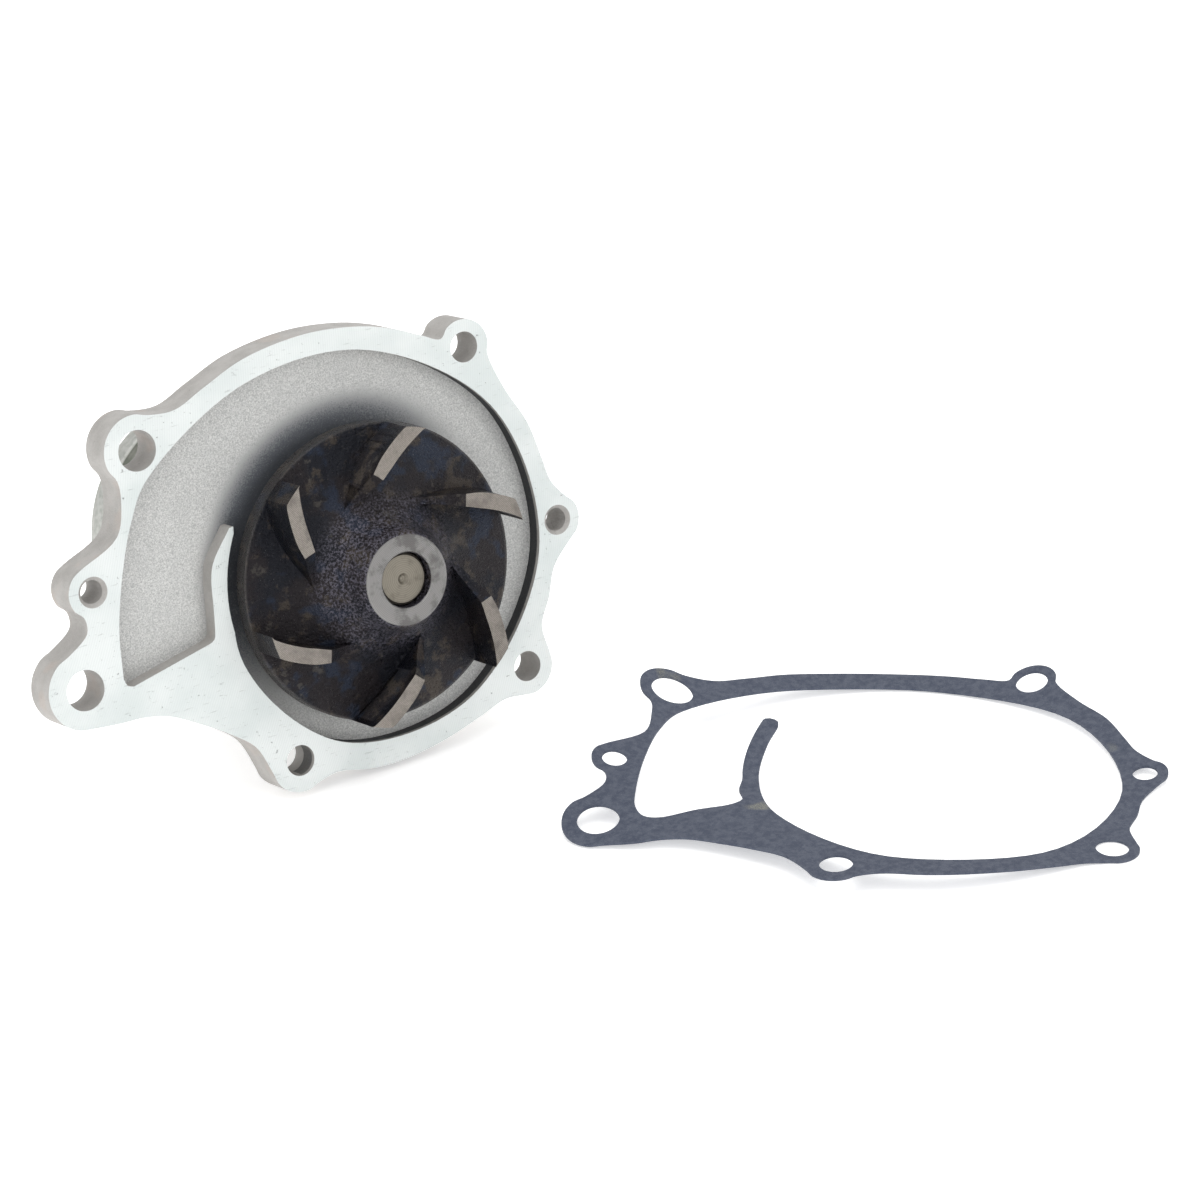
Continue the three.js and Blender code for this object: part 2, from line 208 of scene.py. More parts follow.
def keep(name, vertices, faces, matrix=PUMP):
    mesh = bpy.data.meshes.new(name)
    mesh.from_pydata([matrix @ Vector(v) for v in vertices], [], faces)
    made = bmesh.new()
    made.from_mesh(mesh)
    bmesh.ops.remove_doubles(made, verts=made.verts, dist=1e-7)
    bmesh.ops.recalc_face_normals(made, faces=made.faces)
    made.to_mesh(mesh)
    made.free()
    piece = bpy.data.objects.new(name, mesh)
    bpy.context.scene.collection.objects.link(piece)
    return piece


def prism(name, outline, low, high, matrix=PUMP):
    count = len(outline)
    vertices = [(x, y, low) for x, y in outline] + [(x, y, high) for x, y in outline]
    faces = [(i, (i + 1) % count, count + (i + 1) % count, count + i) for i in range(count)]
    return keep(name, vertices, faces + [tuple(range(count))[::-1], tuple(range(count, 2 * count))], matrix)


def turned(name, profile, segments=96, x=0.0, y=0.0):
    """A closed turned solid about the shaft, or about a line beside it.

    The profile's points are (radius, height).
    """
    vertices, rings = [], []
    for radius, height in profile:
        if radius < 1e-6:
            rings.append([len(vertices)] * segments)
            vertices.append((x, y, height))
        else:
            rings.append(list(range(len(vertices), len(vertices) + segments)))
            vertices += [(*polar(radius, 360 * i / segments, x, y), height) for i in range(segments)]
    loop = profile[0][0] > 1e-6
    pairs = list(zip(rings, rings[1:])) + ([(rings[-1], rings[0])] if loop else [])
    faces = []
    for a, b in pairs:
        for i in range(segments):
            j = (i + 1) % segments
            corners = list(dict.fromkeys((a[i], a[j], b[j], b[i])))
            if len(corners) > 2:
                faces.append(tuple(corners))
    return keep(name, vertices, faces)


def merged(name, pieces):
    made = bmesh.new()
    for piece in pieces:
        made.from_mesh(piece.data)
        bpy.data.objects.remove(piece)
    mesh = bpy.data.meshes.new(name)
    made.to_mesh(mesh)
    made.free()
    whole = bpy.data.objects.new(name, mesh)
    bpy.context.scene.collection.objects.link(whole)
    return whole


def settle(piece):
    """Makes the modifiers part of the mesh."""
    bpy.context.view_layer.update()
    graph = bpy.context.evaluated_depsgraph_get()
    mesh = bpy.data.meshes.new_from_object(piece.evaluated_get(graph))
    piece.modifiers.clear()
    piece.data = mesh


def combine(piece, other, operation):
    change = piece.modifiers.new("join", "BOOLEAN")
    change.object, change.operation, change.solver = other, operation, "EXACT"
    settle(piece)
    bpy.data.objects.remove(other)


def soften(piece, width, angle=35, steps=2):
    """Breaks the sharp edges, and shades the curved walls smooth."""
    edge = piece.modifiers.new("edges", "BEVEL")
    edge.width, edge.segments, edge.limit_method = width * 0.001, steps, "ANGLE"
    edge.angle_limit = math.radians(angle)
    edge.use_clamp_overlap = True
    edge.harden_normals = False
    settle(piece)
    made = bmesh.new()
    made.from_mesh(piece.data)
    bmesh.ops.dissolve_degenerate(made, dist=1e-7, edges=made.edges)
    bmesh.ops.triangulate(made, faces=made.faces, quad_method="BEAUTY", ngon_method="BEAUTY")
    made.to_mesh(piece.data)
    made.free()
    for polygon in piece.data.polygons:
        polygon.use_smooth = True
    piece.data.set_sharp_from_angle(angle=math.radians(angle))
    weigh = piece.modifiers.new("normals", "WEIGHTED_NORMAL")
    weigh.keep_sharp = True


def inside(points, outline):
    x, y = points[:, 0], points[:, 1]
    hit = np.zeros(len(points), bool)
    for (ax, ay), (bx, by) in zip(outline, outline[1:] + outline[:1]):
        if ay == by:
            continue
        crosses = (ay > y) != (by > y)
        hit ^= crosses & (x < ax + (y - ay) * (bx - ax) / (by - ay))
    return hit


def sheet(name, outline, holes, height, thick, pitch, matrix):
    """A thin plate cut to the outline, whose underside follows height(x, y)."""
    loops = [outline] + holes
    points, edges = [], []
    for loop in loops:
        first = len(points)
        points += loop
        edges += [(first + i, first + (i + 1) % len(loop)) for i in range(len(loop))]
    low, high = np.min(outline, 0), np.max(outline, 0)
    across, upward = np.arange(low[0], high[0], pitch), np.arange(low[1], high[1], pitch)
    grid = np.array([(x, y) for x in across for y in upward])
    clear = inside(grid, outline)
    for hole in holes:
        clear &= ~inside(grid, hole)
    edge_points = np.array(points)
    grid = grid[clear]
    far = np.array([np.min(np.hypot(*(edge_points - g).T)) > 0.6 * pitch for g in grid])
    points += [tuple(g) for g in grid[far]]
    flat, _, triangles, *_ = delaunay_2d_cdt([Vector(p) for p in points], edges, [], 0, 1e-5)
    centres = np.array([np.mean([flat[i] for i in t], axis=0) for t in triangles])
    wanted = inside(centres, outline)
    for hole in holes:
        wanted &= ~inside(centres, hole)
    triangles = [t for t, w in zip(triangles, wanted) if w]
    count = len(flat)
    vertices = [(p.x, p.y, height(p.x, p.y)) for p in flat]
    vertices += [(x, y, z + thick) for x, y, z in vertices]
    sides = {}
    for t in triangles:
        for a, b in zip(t, (*t[1:], t[0])):
            sides[(a, b)] = True
    walls = [(a, b, count + b, count + a) for a, b in sides if (b, a) not in sides]
    faces = [tuple(t)[::-1] for t in triangles] + [tuple(count + i for i in t) for t in triangles] + walls
    piece = keep(name, vertices, faces, matrix)
    made = bmesh.new()
    made.from_mesh(piece.data)
    bmesh.ops.delete(made, geom=[v for v in made.verts if not v.link_faces], context="VERTS")
    made.to_mesh(piece.data)
    made.free()
    for polygon in piece.data.polygons:
        polygon.use_smooth = True
    piece.data.set_sharp_from_angle(angle=math.radians(40))
    return piece


# ------------------------------------------------------------------ pump body

def build_body():
    body = prism("body_shell", flange_outline(TRIM), -FLANGE_THICK, 0)
    nose = turned("nose", [(0, -9), (36, -9), (36, -15), (33.6, -18.4), (28, -23), (25.4, -26.4),
                           (NOSE_RADIUS, -30), (NOSE_RADIUS, NOSE_END + 1), (NOSE_RADIUS - 1, NOSE_END),
                           (0, NOSE_END)])
    combine(body, nose, "UNION")
    ribs = []
    for deg in RIB_ANGLES:
        stand = PUMP @ Matrix.Rotation(math.radians(deg), 4, "Z") @ Matrix.Rotation(math.pi / 2, 4, "X")
        section = [(20, -9), (50, -9), (50, -13), (25, -50), (20, -50)]
        ribs.append(prism("rib", section, -RIB_HALF, RIB_HALF, stand))
    combine(body, merged("ribs", ribs), "UNION")
    combine(body, prism("recess", recess_outline(), -RECESS_DEPTH, 1), "DIFFERENCE")
    combine(body, turned("bores", [
        (0, 1), (DISH_RADIUS, 1), (DISH_RADIUS, -RECESS_DEPTH), (39, -6.2), (28, DISH_FLOOR),
        (SEAL_BORE, DISH_FLOOR), (SEAL_BORE, SEAL_BORE_END), (WEEP_BORE, SEAL_BORE_END),
        (WEEP_BORE, BEARING_SEAT), (BEARING_BORE, BEARING_SEAT), (BEARING_BORE, NOSE_END - 1),
        (0, NOSE_END - 1)]), "DIFFERENCE")
    drills = []
    for key, (x, y, hole, *_) in EARS.items():
        mouth = [(hole, 1)]
        if key in SUNK:
            mouth = [(hole + 2 * COUNTERSINK, COUNTERSINK), (hole, -COUNTERSINK)]
        drills.append(turned("drill", [(0, 1), *mouth, (hole, -30), (0, -30)], 48, x, y))
    combine(body, merged("drills", drills), "DIFFERENCE")
    weep = turned("weep", [(0, 0), (WEEP_HOLE, 0), (WEEP_HOLE, 34), (0, 34)], 32)
    weep.data.transform(PUMP @ Matrix.Translation((0, -44, -22.5)) @ Matrix.Rotation(-math.pi / 2, 4, "X")
                        @ PUMP.inverted())
    combine(body, weep, "DIFFERENCE")
    soften(body, 0.28)
    return body


# ------------------------------------------------------------------ impeller, shaft and hub

def vane_angle(s):
    return 117 - 47 * s ** 0.62


def vane_height(radius):
    if radius >= VANE_SHOULDER_RADIUS:
        return VANE_TOP
    rise_share = max(0.0, (radius - VANE_FOOT_RADIUS) / VANE_SLOPE)
    return VANE_FOOT_TOP + (VANE_TOP - VANE_FOOT_TOP) * rise_share ** 1.15


def build_vane(turn):
    steps = 26
    spine = []
    for i in range(steps + 1):
        s = i / steps
        spine.append(np.array(polar(VANE_FOOT_RADIUS + VANE_RUN * s, vane_angle(s) + turn)))
    sides = [[], []]
    for i, point in enumerate(spine):
        along = spine[min(i + 1, steps)] - spine[max(i - 1, 0)]
        along /= np.linalg.norm(along)
        half = VANE_HALF * min(1.0, 0.35 + 1.35 * i / steps)
        for side, sign in zip(sides, (-1, 1)):
            x, y = point + np.array((-along[1], along[0])) * half * sign
            radius = math.hypot(x, y)
            limit = WHEEL_RADIUS - WHEEL_TRIM
            if radius > limit:
                x, y = x * limit / radius, y * limit / radius
            side.append((x, y))
    loops = []
    for (ax, ay), (bx, by) in zip(*sides):
        top = vane_height(math.hypot((ax + bx) / 2, (ay + by) / 2))
        loops.append([(ax, ay, 2), (bx, by, 2), (bx, by, top), (ax, ay, top)])
    trimmed = [loops[0]]
    for loop in loops[1:]:
        if math.dist(loop[0], trimmed[-1][0]) > 0.25 and math.dist(loop[1], trimmed[-1][1]) > 0.25:
            trimmed.append(loop)
    vertices = [v for loop in trimmed for v in loop]
    faces = [(0, 1, 2, 3), tuple(len(vertices) - 4 + i for i in (3, 2, 1, 0))]
    for i in range(len(trimmed) - 1):
        a, b = 4 * i, 4 * i + 4
        faces += [(a + j, a + (j + 1) % 4, b + (j + 1) % 4, b + j) for j in range(4)]
    return keep("vane", vertices, faces)


def build_impeller():
    wheel = turned("impeller_casting", [
        (WHEEL_BORE, WHEEL_BACK), (WHEEL_RADIUS - WHEEL_TRIM, WHEEL_BACK),
        (WHEEL_RADIUS - WHEEL_TRIM, 4.65), (34, 4.9), (27, 6), (24, 7),
        (21.5, 8.2), (19, 9.9), (17.2, 11.6), (15.7, 13.4), (14.6, 15.4), (13.9, 17), (13.3, 18.6),
        (12.9, 19.5), (12.4, 20.1), (11.6, 20.4), (7.9, 20.4), (WHEEL_BORE, 20)], 128)
    combine(wheel, turned("back_hollow", [(0, -1), (16, -1), (16, 4.1), (0, 4.1)], 64), "DIFFERENCE")
    combine(wheel, merged("vanes", [build_vane(360 / VANE_COUNT * i) for i in range(VANE_COUNT)]), "UNION")
    soften(wheel, 0.3, 32)
    return wheel


def build_shaft():
    shaft = turned("ground_shaft", [
        (0, HUB_BACK + 1), (7.4, HUB_BACK + 1), (SHAFT_REAR, HUB_BACK + 1.6), (SHAFT_REAR, SHAFT_STEP),
        (SHAFT_FRONT, -23.2), (SHAFT_FRONT, 17.5), (6.5, SHAFT_END), (1.5, SHAFT_END), (0.9, 17.3),
        (0, 17)], 96)
    soften(shaft, 0.12, 40)
    return shaft


def build_hub():
    front = HUB_BACK + HUB_PLATE
    hub = turned("drive_flange", [
        (0, HUB_BACK - 2), (14.5, HUB_BACK - 2), (PILOT_RADIUS, HUB_BACK - 1.5), (PILOT_RADIUS, HUB_BACK),
        (HUB_RADIUS - 0.7, HUB_BACK), (HUB_RADIUS - 0.08, HUB_BACK + 0.6), (HUB_RADIUS - 0.08, front - 0.6),
        (HUB_RADIUS - 0.7, front), (17, front), (14.6, front + 1), (13.5, front + 4), (13.5, NOSE_END - 2),
        (0, NOSE_END - 2)], 128)
    tap = [(0, HUB_BACK - 5), (TAP_RADIUS, HUB_BACK - 5), (TAP_RADIUS, HUB_BACK + 12), (0, HUB_BACK + 12)]
    cutters = [turned("tap", tap, 32, *polar(TAP_CIRCLE, deg)) for deg in (45, 135, 225, 315)]
    bore = [(0, HUB_BACK - 5), (8.3, HUB_BACK - 5), (8.3, NOSE_END), (0, NOSE_END)]
    cutters.append(turned("bore", bore, 64))
    combine(hub, merged("cutters", cutters), "DIFFERENCE")
    soften(hub, 0.25, 35)
    return hub


# ------------------------------------------------------------------ gasket

def curl(x_mm, y_mm):
    """How far the loose sheet's underside stands above the floor."""
    x, y = x_mm / 60, y_mm / 60
    level = 0.64 - 3.26 * x - 5.4 * y + 2.32 * x * x + 1.09 * x * y + 1.78 * y * y
    level += 1.67 * x ** 3 + 9.38 * x * x * y + 0.4 * x * y * y + 3.43 * y ** 3
    level = (level + math.sqrt(level * level + CURL_EASE * CURL_EASE)) / 2
    angle = math.degrees(math.atan2(y_mm, x_mm))
    if math.hypot(x_mm, y_mm) < 52 and angle > 120:
        level += FINGER_LIFT * min(1.0, max(0.0, (178 - angle) / 34)) ** 1.5
    return level


def build_gasket():
    outline = flange_outline(GASKET_TRIM)
    holes = [gasket_opening()] + [arc(hole + 0.2, 0, 350, 35, x, y) for x, y, hole, *_ in EARS.values()]
    turn = Matrix.Rotation(GASKET_TURN, 4, "Z")
    spread = [turn @ Vector((x, y, 0)) for x, y in outline]
    low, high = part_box("gasket")
    middle = (low + high) / 2
    centre_x = middle.x * 1000 - (min(v.x for v in spread) + max(v.x for v in spread)) / 2
    centre_y = middle.y * 1000 - (min(v.y for v in spread) + max(v.y for v in spread)) / 2
    place = Matrix.Scale(0.001, 4) @ Matrix.Translation((centre_x, centre_y, 0)) @ turn
    return sheet("paper_gasket", outline, holes, curl, GASKET_THICK, GASKET_PITCH, place)


# ------------------------------------------------------------------ shading

class Wire:
    """A socket in a shader tree that adds, multiplies and compares like a number."""

    def __init__(self, tree, socket):
        self.tree = tree
        self.socket = socket

    def node(self, kind, output=0, settings=None, **inputs):
        made = self.tree.nodes.new("ShaderNode" + kind)
        for name, value in (settings or {}).items():
            setattr(made, name, value)
        for name, value in inputs.items():
            target = made.inputs[int(name[1:]) if name[1:].isdigit() else name.replace("_", " ")]
            if isinstance(value, Wire):
                self.tree.links.new(value.socket, target)
            else:
                target.default_value = value
        return Wire(self.tree, made.outputs[output])

    def maths(self, operation, first, second=0.0):
        return self.node("Math", 0, {"operation": operation}, _0=first, _1=second)

    def __add__(self, other):
        return self.maths("ADD", self, other)

    __radd__ = __add__

    def __sub__(self, other):
        return self.maths("SUBTRACT", self, other)

    def __rsub__(self, other):
        return self.maths("SUBTRACT", other, self)

    def __mul__(self, other):
        return self.maths("MULTIPLY", self, other)

    __rmul__ = __mul__

    def __truediv__(self, other):
        return self.maths("DIVIDE", self, other)

    def __rtruediv__(self, other):
        return self.maths("DIVIDE", other, self)

    def __pow__(self, other):
        return self.maths("POWER", self, other)

    def __gt__(self, other):
        return self.maths("GREATER_THAN", self, other)

    def __lt__(self, other):
        return self.maths("LESS_THAN", self, other)


def vector(wire, operation, first, second, output=0):
    return wire.node("VectorMath", output, {"operation": operation}, _0=first, _1=second)


def rise(wire, start, end):
    """0 below start and 1 above end, or the other way round if start is the larger."""
    return wire.node("MapRange", 0, {"interpolation_type": "SMOOTHSTEP"}, _0=wire, _1=start, _2=end,
                     _3=0.0, _4=1.0)


def noise(place, scale, detail=3.0, roughness=0.55):
    return place.node("TexNoise", 0, Vector=place, Scale=scale, Detail=detail, Roughness=roughness)


def cells(place, scale):
    return place.node("TexVoronoi", 0, Vector=place, Scale=scale)


def mix(factor, first, second):
    return factor.node("Mix", 2, {"data_type": "RGBA"}, _0=factor, _6=first, _7=second)


def pump_place(place):
    """Right, up and along-the-shaft distances in millimetres, and the distance from the shaft's line."""
    foot = tuple(FOOT * 1000)
    away = vector(place, "SUBTRACT", place, foot)
    right, up, along = (vector(place, "DOT_PRODUCT", away, tuple(d), 1) for d in (ACROSS, UP, AXIS))
    return right, up, along, (right * right + up * up) ** 0.5


def material(name, shade, bump):
    """A material whose looks come from shade, with relief that is bump millimetres deep."""
    made = bpy.data.materials.new(name)
    made.use_nodes = True
    tree = made.node_tree
    surface = tree.nodes["Principled BSDF"]
    start = Wire(tree, tree.nodes.new("ShaderNodeTexCoord").outputs["Object"])
    place = start.node("VectorMath", 0, {"operation": "SCALE"}, _0=start, Scale=1000.0)
    looks = shade(place)
    height = looks.pop("Height")
    looks["Normal"] = place.node("Bump", 0, Height=height, Strength=1.0, Distance=bump * 0.001)
    for key, value in looks.items():
        if isinstance(value, Wire):
            tree.links.new(value.socket, surface.inputs[key.replace("_", " ")])
        else:
            surface.inputs[key.replace("_", " ")].default_value = value
    return made


def facing(place):
    """How squarely the surface looks along the shaft, for pieces that never turn."""
    normal = Wire(place.tree, place.tree.nodes.new("ShaderNodeNewGeometry").outputs["Normal"])
    return vector(place, "DOT_PRODUCT", normal, tuple(AXIS), 1)


def shade_body(place):
    right, up, along, radius = pump_place(place)
    square = facing(place)
    face = (along > -0.12) * rise(square, 0.9, 0.98)
    floor = (along > -8.6) * (along < -4.6) * rise(square, 0.6, 0.85) * (radius > 16)
    grain = noise(place, 2.6, 4, 0.7)
    broad = noise(place, 0.05, 3)
    blotch = noise(place, 0.16, 4, 0.65)
    fine = noise(place, 7.0, 2)
    # tool marks run as wide arcs across the face
    swing = ((right + 260) * (right + 260) + (up - 90) * (up - 90)) ** 0.5
    marks = place.maths("SINE", swing * 9 + noise(place, 0.4) * 2)
    scratch_place = vector(place, "MULTIPLY", place, (0.5, 5.0, 5.0))
    scratch = rise(noise(scratch_place, 0.5, 2), 0.66, 0.72)
    pits = rise(noise(place, 0.9, 3, 0.75), 0.67, 0.72)
    face_tone = mix(rise(broad, 0.3, 0.7), (0.60, 0.645, 0.635, 1), (0.70, 0.73, 0.72, 1))
    face_tone = mix(scratch * 0.25 + pits * 0.75, face_tone, (0.16, 0.165, 0.165, 1))
    face_tone = mix(rise(marks, -1, 1) * 0.16, face_tone, (0.46, 0.49, 0.49, 1))
    # painted shadow: the sand-cast floor is painted dark and bluish beside the impeller on its upper left, broken
    # up by the grain
    lean_left = (up * 0.75 - right * 0.66) / (radius + 1)
    shade = rise(radius, 53.5, 40) * rise(lean_left, -0.7, 0.9)
    floor_tone = mix(rise(grain, 0.34, 0.66), (0.36, 0.365, 0.36, 1), (0.66, 0.66, 0.645, 1))
    floor_tone = mix(rise(blotch, 0.45, 0.75) * 0.35, floor_tone, (0.46, 0.465, 0.46, 1))
    painted_recess_shadow = rise(shade + (grain - 0.5) * 1.8 * shade ** 0.5, 0.10, 1.05)
    floor_tone = mix(painted_recess_shadow * 0.93, floor_tone, (0.058, 0.067, 0.085, 1))
    side_tone = mix(rise(blotch, 0.3, 0.7), (0.345, 0.332, 0.315, 1), (0.435, 0.42, 0.402, 1))
    side_tone = mix(rise(grain, 0.35, 0.65) * 0.35, side_tone, (0.50, 0.485, 0.465, 1))
    side_tone = mix(rise(noise(place, 0.09, 2), 0.56, 0.68) * 0.25, side_tone, (0.50, 0.40, 0.34, 1))
    side_tone = mix(pits * 0.5, side_tone, (0.15, 0.14, 0.13, 1))
    # painted shade: a dark line is painted in the corner of the recess on its right and along its foot
    lean_right = (right * 0.85 - up * 0.5) / (radius + 1)
    corner_shade = (along > -6) * rise(along, -0.9, -1.6) * rise(square, 0.8, 0.5)
    corner_shade = corner_shade * (radius < 58.5) * rise(radius, 43, 44)
    side_tone = mix(corner_shade * rise(lean_right, -0.25, 0.15), side_tone, (0.035, 0.037, 0.04, 1))
    colour = mix(floor, side_tone, floor_tone)
    colour = mix(face, colour, face_tone)
    rough = 0.62 - floor * 0.04 - face * 0.22 + (fine - 0.5) * 0.12
    height = (1 - face) * (grain * 1.6 + cells(place, 1.9) * 0.5)
    height = height + face * (marks * 0.05 - pits * 1.2 - scratch * 0.4)
    return {"Base_Color": colour, "Roughness": rough, "Metallic": 0.12 + (1 - face) * 0.12, "Height": height}


def shade_impeller(place):
    right, up, along, radius = pump_place(place)
    top = (along > VANE_TOP - 0.12) * (along < VANE_TOP + 0.2) * (radius > 27)
    crown = (along > 20.1) * (radius < 14)
    rim = rise(radius, WHEEL_RADIUS - 0.9, WHEEL_RADIUS - 0.2) * (along < 5)
    broad = noise(place, 0.055, 4, 0.6)
    patch = noise(place, 0.14, 5, 0.65)
    grain = noise(place, 1.5, 4, 0.7)
    speck = rise(noise(place, 3.2, 2, 0.8), 0.66, 0.74)
    cast = mix(rise(broad, 0.44, 0.58), (0.005, 0.006, 0.011, 1), (0.012, 0.009, 0.011, 1))
    cast = mix(rise(patch, 0.53, 0.62) * 0.85, cast, (0.050, 0.040, 0.032, 1))
    cast = mix(rise(noise(place, 0.1, 3), 0.57, 0.66) * 0.75, cast, (0.014, 0.022, 0.042, 1))
    cast = mix(rise(noise(place, 0.16, 5, 0.7), 0.60, 0.66) * 0.55, cast, (0.075, 0.068, 0.060, 1))
    # painted highlight: the flare of the hub is painted lighter and violet where the grain is high
    flare_highlight = rise(radius, 27, 15) * rise(along, 6, 9)
    cast = mix(flare_highlight * rise(grain, 0.46, 0.62) * 0.75, cast, (0.17, 0.16, 0.20, 1))
    cast = mix(speck * 0.6, cast, (0.26, 0.25, 0.24, 1))
    lines = right * 11.3 + up * 9.1 + noise(place, 0.5) * 3
    lines = lines.maths("SINE", lines)
    bare = mix(rise(lines, -1, 1) * rise(grain, 0.3, 0.6), (0.19, 0.17, 0.15, 1), (0.32, 0.295, 0.265, 1))
    bare = mix(rise(patch, 0.48, 0.66) * 0.65, bare, (0.12, 0.105, 0.095, 1))
    rings = (radius * 14).maths("SINE", radius * 14)
    ring_tone = mix(rise(rings, -1, 1) * 0.5, (0.25, 0.245, 0.24, 1), (0.15, 0.146, 0.142, 1))
    ring_tone = mix(rise(patch, 0.48, 0.62) * 0.6, ring_tone, (0.07, 0.067, 0.064, 1))
    colour = mix(top, cast, bare)
    colour = mix(crown, colour, ring_tone)
    colour = mix(rim * 0.25, colour, (0.20, 0.19, 0.18, 1))
    worked = top + crown
    rough = 0.30 + (grain - 0.5) * 0.3 + worked * 0.06
    height = (1 - worked) * (grain * 2.2 + patch * 5) + worked * (lines * 0.12)
    return {"Base_Color": colour, "Roughness": rough, "Metallic": 0.55 + worked * 0.2, "Height": height}


def shade_shaft(place):
    *_, radius = pump_place(place)
    rings = (radius * 11).maths("SINE", radius * 11)
    smear = noise(place, 0.35, 4, 0.6)
    tone = mix(rise(rings, -1, 1) * 0.45, (0.19, 0.172, 0.14, 1), (0.29, 0.268, 0.225, 1))
    tone = mix(rise(smear, 0.5, 0.72) * 0.6, tone, (0.12, 0.108, 0.086, 1))
    return {"Base_Color": tone, "Roughness": 0.32 + smear * 0.2, "Metallic": 0.75 + smear * 0.1,
            "Height": rings * 0.2 + smear}


def shade_hub(place):
    *_, radius = pump_place(place)
    # painted highlight: a light band is painted round the chamfered rim of the hub plate
    edge = rise(radius, HUB_RADIUS - 0.9, HUB_RADIUS - 0.3)
    rings = (radius * 7).maths("SINE", radius * 7)
    broad = noise(place, 0.12, 4, 0.6)
    tone = mix(rise(broad, 0.4, 0.65), (0.24, 0.26, 0.225, 1), (0.36, 0.37, 0.33, 1))
    tone = mix(rise(rings, -1, 1) * 0.18, tone, (0.16, 0.17, 0.15, 1))
    tone = mix(edge * (0.35 + rise(noise(place, 0.6, 3), 0.3, 0.65) * 0.35), tone, (0.58, 0.58, 0.56, 1))
    return {"Base_Color": tone, "Roughness": 0.42 + broad * 0.15, "Metallic": 0.5 + edge * 0.2,
            "Height": rings * 0.15 + broad}


def shade_gasket(place):
    fibre_place = vector(place, "MULTIPLY", place, (1.0, 2.2, 1.0))
    mottle = noise(place, 0.5, 5, 0.7)
    fibre = noise(fibre_place, 2.4, 4, 0.75)
    speck = rise(noise(place, 3.6, 2, 0.85), 0.62, 0.72)
    tone = mix(rise(mottle, 0.36, 0.64), (0.040, 0.050, 0.082, 1), (0.078, 0.090, 0.124, 1))
    tone = mix(rise(fibre, 0.5, 0.7) * 0.5, tone, (0.115, 0.130, 0.165, 1))
    tone = mix(rise(fibre, 0.46, 0.32) * 0.45, tone, (0.022, 0.027, 0.045, 1))
    tone = mix(speck * 0.4, tone, (0.26, 0.29, 0.33, 1))
    smudge = rise(noise(place, 0.045, 2), 0.70, 0.76) * rise(fibre, 0.4, 0.6)
    tone = mix(smudge * 0.5, tone, (0.42, 0.40, 0.26, 1))
    return {"Base_Color": tone, "Roughness": 0.72 + (fibre - 0.5) * 0.2, "Metallic": 0.0,
            "Height": fibre * 0.7 + mottle}


def plain(tone, metal, rough, wear=0.15, spots=0.4):
    """A quiet finish with worn patches, fine grain and a little dust."""
    def shade(place):
        patch = noise(place, 0.3, 4, 0.6)
        grain = noise(place, 4.0, 3, 0.7)
        dark = tuple(c * (1 - wear * 1.6) for c in tone[:3]) + (1,)
        dusty = tuple(min(1.0, c * (1 + wear) + 0.01) for c in tone[:3]) + (1,)
        colour = mix(rise(patch, 0.4, 0.65), tone, dark)
        colour = mix(rise(grain, 0.62, 0.75) * spots, colour, dusty)
        return {"Base_Color": colour, "Roughness": rough + (grain - 0.5) * 0.2,
                "Metallic": metal * (1 - 0.1 * patch), "Height": grain + patch}
    return shade


def shade_table(place):
    patch = noise(place, 0.01, 2)
    tone = mix(patch, (0.93, 0.93, 0.93, 1), (0.96, 0.96, 0.955, 1))
    return {"Base_Color": tone, "Roughness": 0.75 + patch * 0.05, "Metallic": 0.0,
            "Height": patch, "Emission_Color": (1.0, 1.0, 1.0, 1), "Emission_Strength": 0.42}


looks = {
    "cast_body": material("cast and machined aluminium", shade_body, 0.10),
    "impeller_iron": material("heat-darkened cast iron", shade_impeller, 0.22),
    "shaft_steel": material("turned shaft end", shade_shaft, 0.03),
    "hub_iron": material("machined hub iron", shade_hub, 0.04),
    "bearing_steel": material("polished bearing steel", plain((0.62, 0.62, 0.61, 1), 0.95, 0.22), 0.01),
    "black_rubber": material("black rubber", plain((0.022, 0.022, 0.023, 1), 0.02, 0.7), 0.03),
    "seal_brass": material("pressed brass", plain((0.60, 0.42, 0.19, 1), 0.9, 0.35), 0.02),
    "carbon": material("lapped carbon", plain((0.032, 0.032, 0.035, 1), 0.1, 0.4), 0.02),
    "ring_ceramic": material("lapped ceramic", plain((0.80, 0.78, 0.71, 1), 0.02, 0.3, 0.06), 0.01),
    "cage_plastic": material("moulded cage", plain((0.62, 0.53, 0.34, 1), 0.02, 0.5, 0.1), 0.02),
    "gasket_paper": material("pressed gasket paper", shade_gasket, 0.08),
}


# ------------------------------------------------------------------ putting the pieces on the frame

slots = {part["node"]: part["material_slot"] for part in frame["record"]["subparts"]}
for node, holder in frame["nodes"].items():
    holder.data.materials.clear()
    holder.data.materials.append(looks[slots[node]])

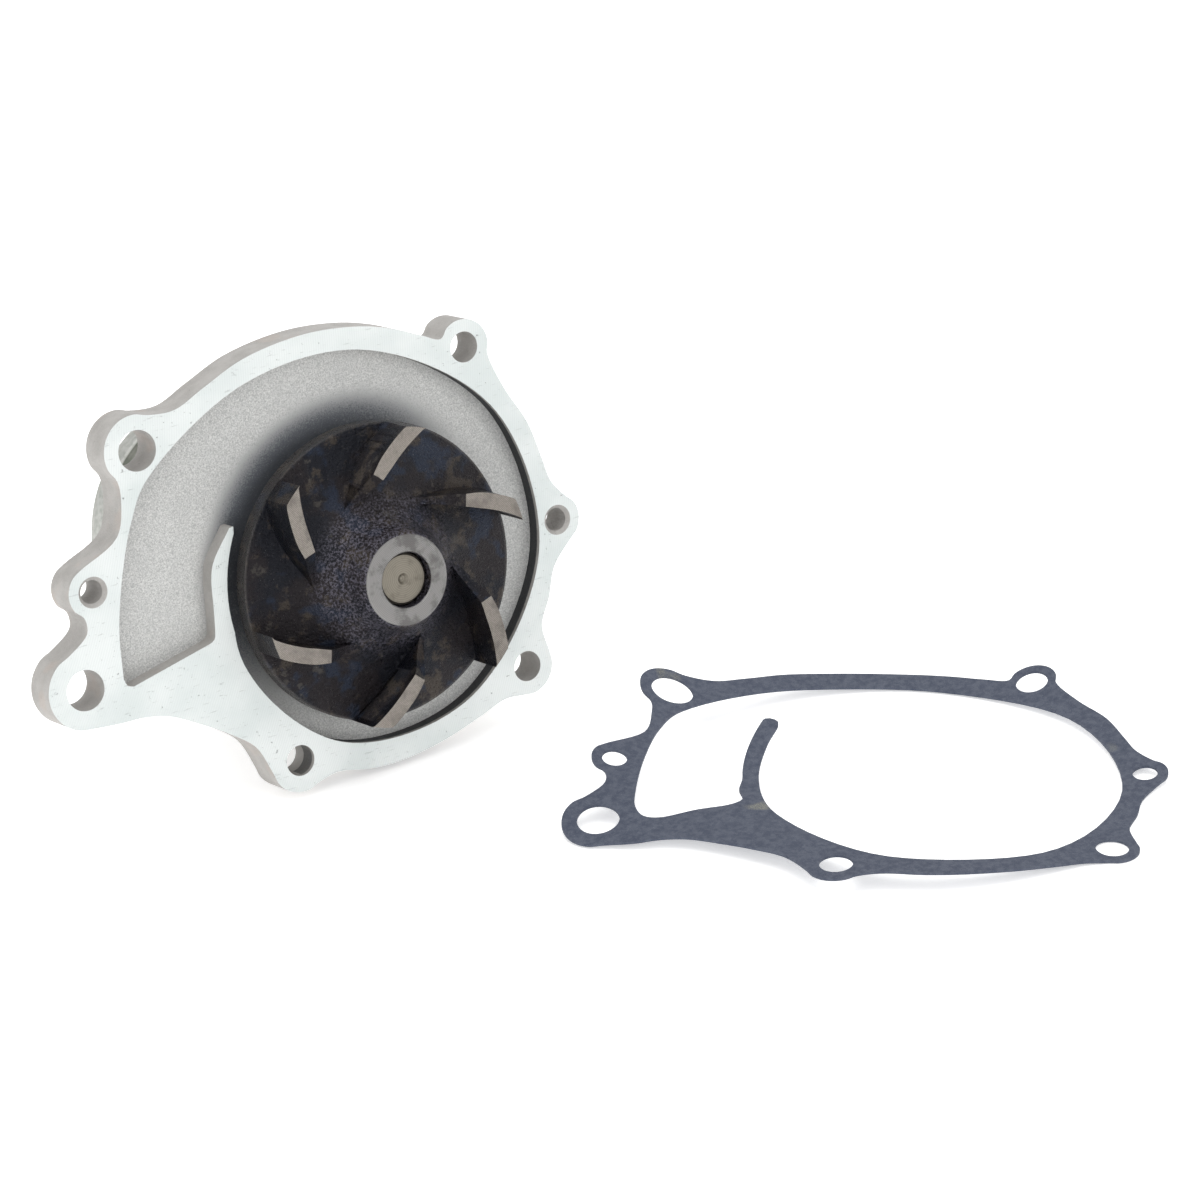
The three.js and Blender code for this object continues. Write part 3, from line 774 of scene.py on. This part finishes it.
for node, body, build in (("pump_body", "housing", build_body), ("impeller", "rotor", build_impeller),
                          ("pump_shaft", "rotor", build_shaft), ("drive_hub", "rotor", build_hub),
                          ("gasket", "gasket", build_gasket)):
    piece = build()
    piece.data.materials.clear()
    piece.data.materials.append(looks[slots[node]])
    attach(piece, body)
    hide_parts(node)


# ------------------------------------------------------------------ floor, light and camera

table_corners = [(-30, -30, 0), (30, -30, 0), (30, 30, 0), (-30, 30, 0)]
table = keep("floor", table_corners, [(0, 1, 2, 3)], Matrix.Identity(4))
table.location.z = -0.0001
table.data.materials.append(material("white floor", shade_table, 0.01))


def lamp(name, place, target, size, watts, tone=(1, 1, 1)):
    light = bpy.data.lights.new(name, "AREA")
    light.shape, light.size, light.energy, light.color = "SQUARE", size, watts, tone
    holder = bpy.data.objects.new(name, light)
    holder.location = place
    holder.rotation_euler = (Vector(target) - Vector(place)).to_track_quat("-Z", "Y").to_euler()
    bpy.context.scene.collection.objects.link(holder)


lamp("overhead", (0.1, 0.1, 1.7), (0, 0, 0), 1.8, 12)
lamp("left", (-1.4, -0.9, 0.9), (0, 0, 0.05), 1.0, 5)
lamp("front", (0.7, -1.5, 0.9), (0, 0, 0.05), 1.0, 4)

world = bpy.data.worlds.new("studio")
bpy.context.scene.world = world
world.use_nodes = True
world.node_tree.nodes["Background"].inputs["Color"].default_value = (1, 1, 1, 1)
world.node_tree.nodes["Background"].inputs["Strength"].default_value = 0.82

sight = CAMERA_SIGHT.normalized()
camera_right = sight.cross(CAMERA_UP).normalized()
camera_up = camera_right.cross(sight)
lens = bpy.data.cameras.new("camera")
lens.lens, lens.sensor_width = CAMERA_LENS, 36
lens.clip_end = 100
camera = bpy.data.objects.new("camera", lens)
camera_frame = Matrix((camera_right, camera_up, -sight)).transposed().to_4x4()
camera.matrix_world = Matrix.Translation(FOOT + CAMERA_OFFSET) @ camera_frame
bpy.context.scene.collection.objects.link(camera)
bpy.context.scene.camera = camera
bpy.context.scene.view_settings.view_transform = "Standard"
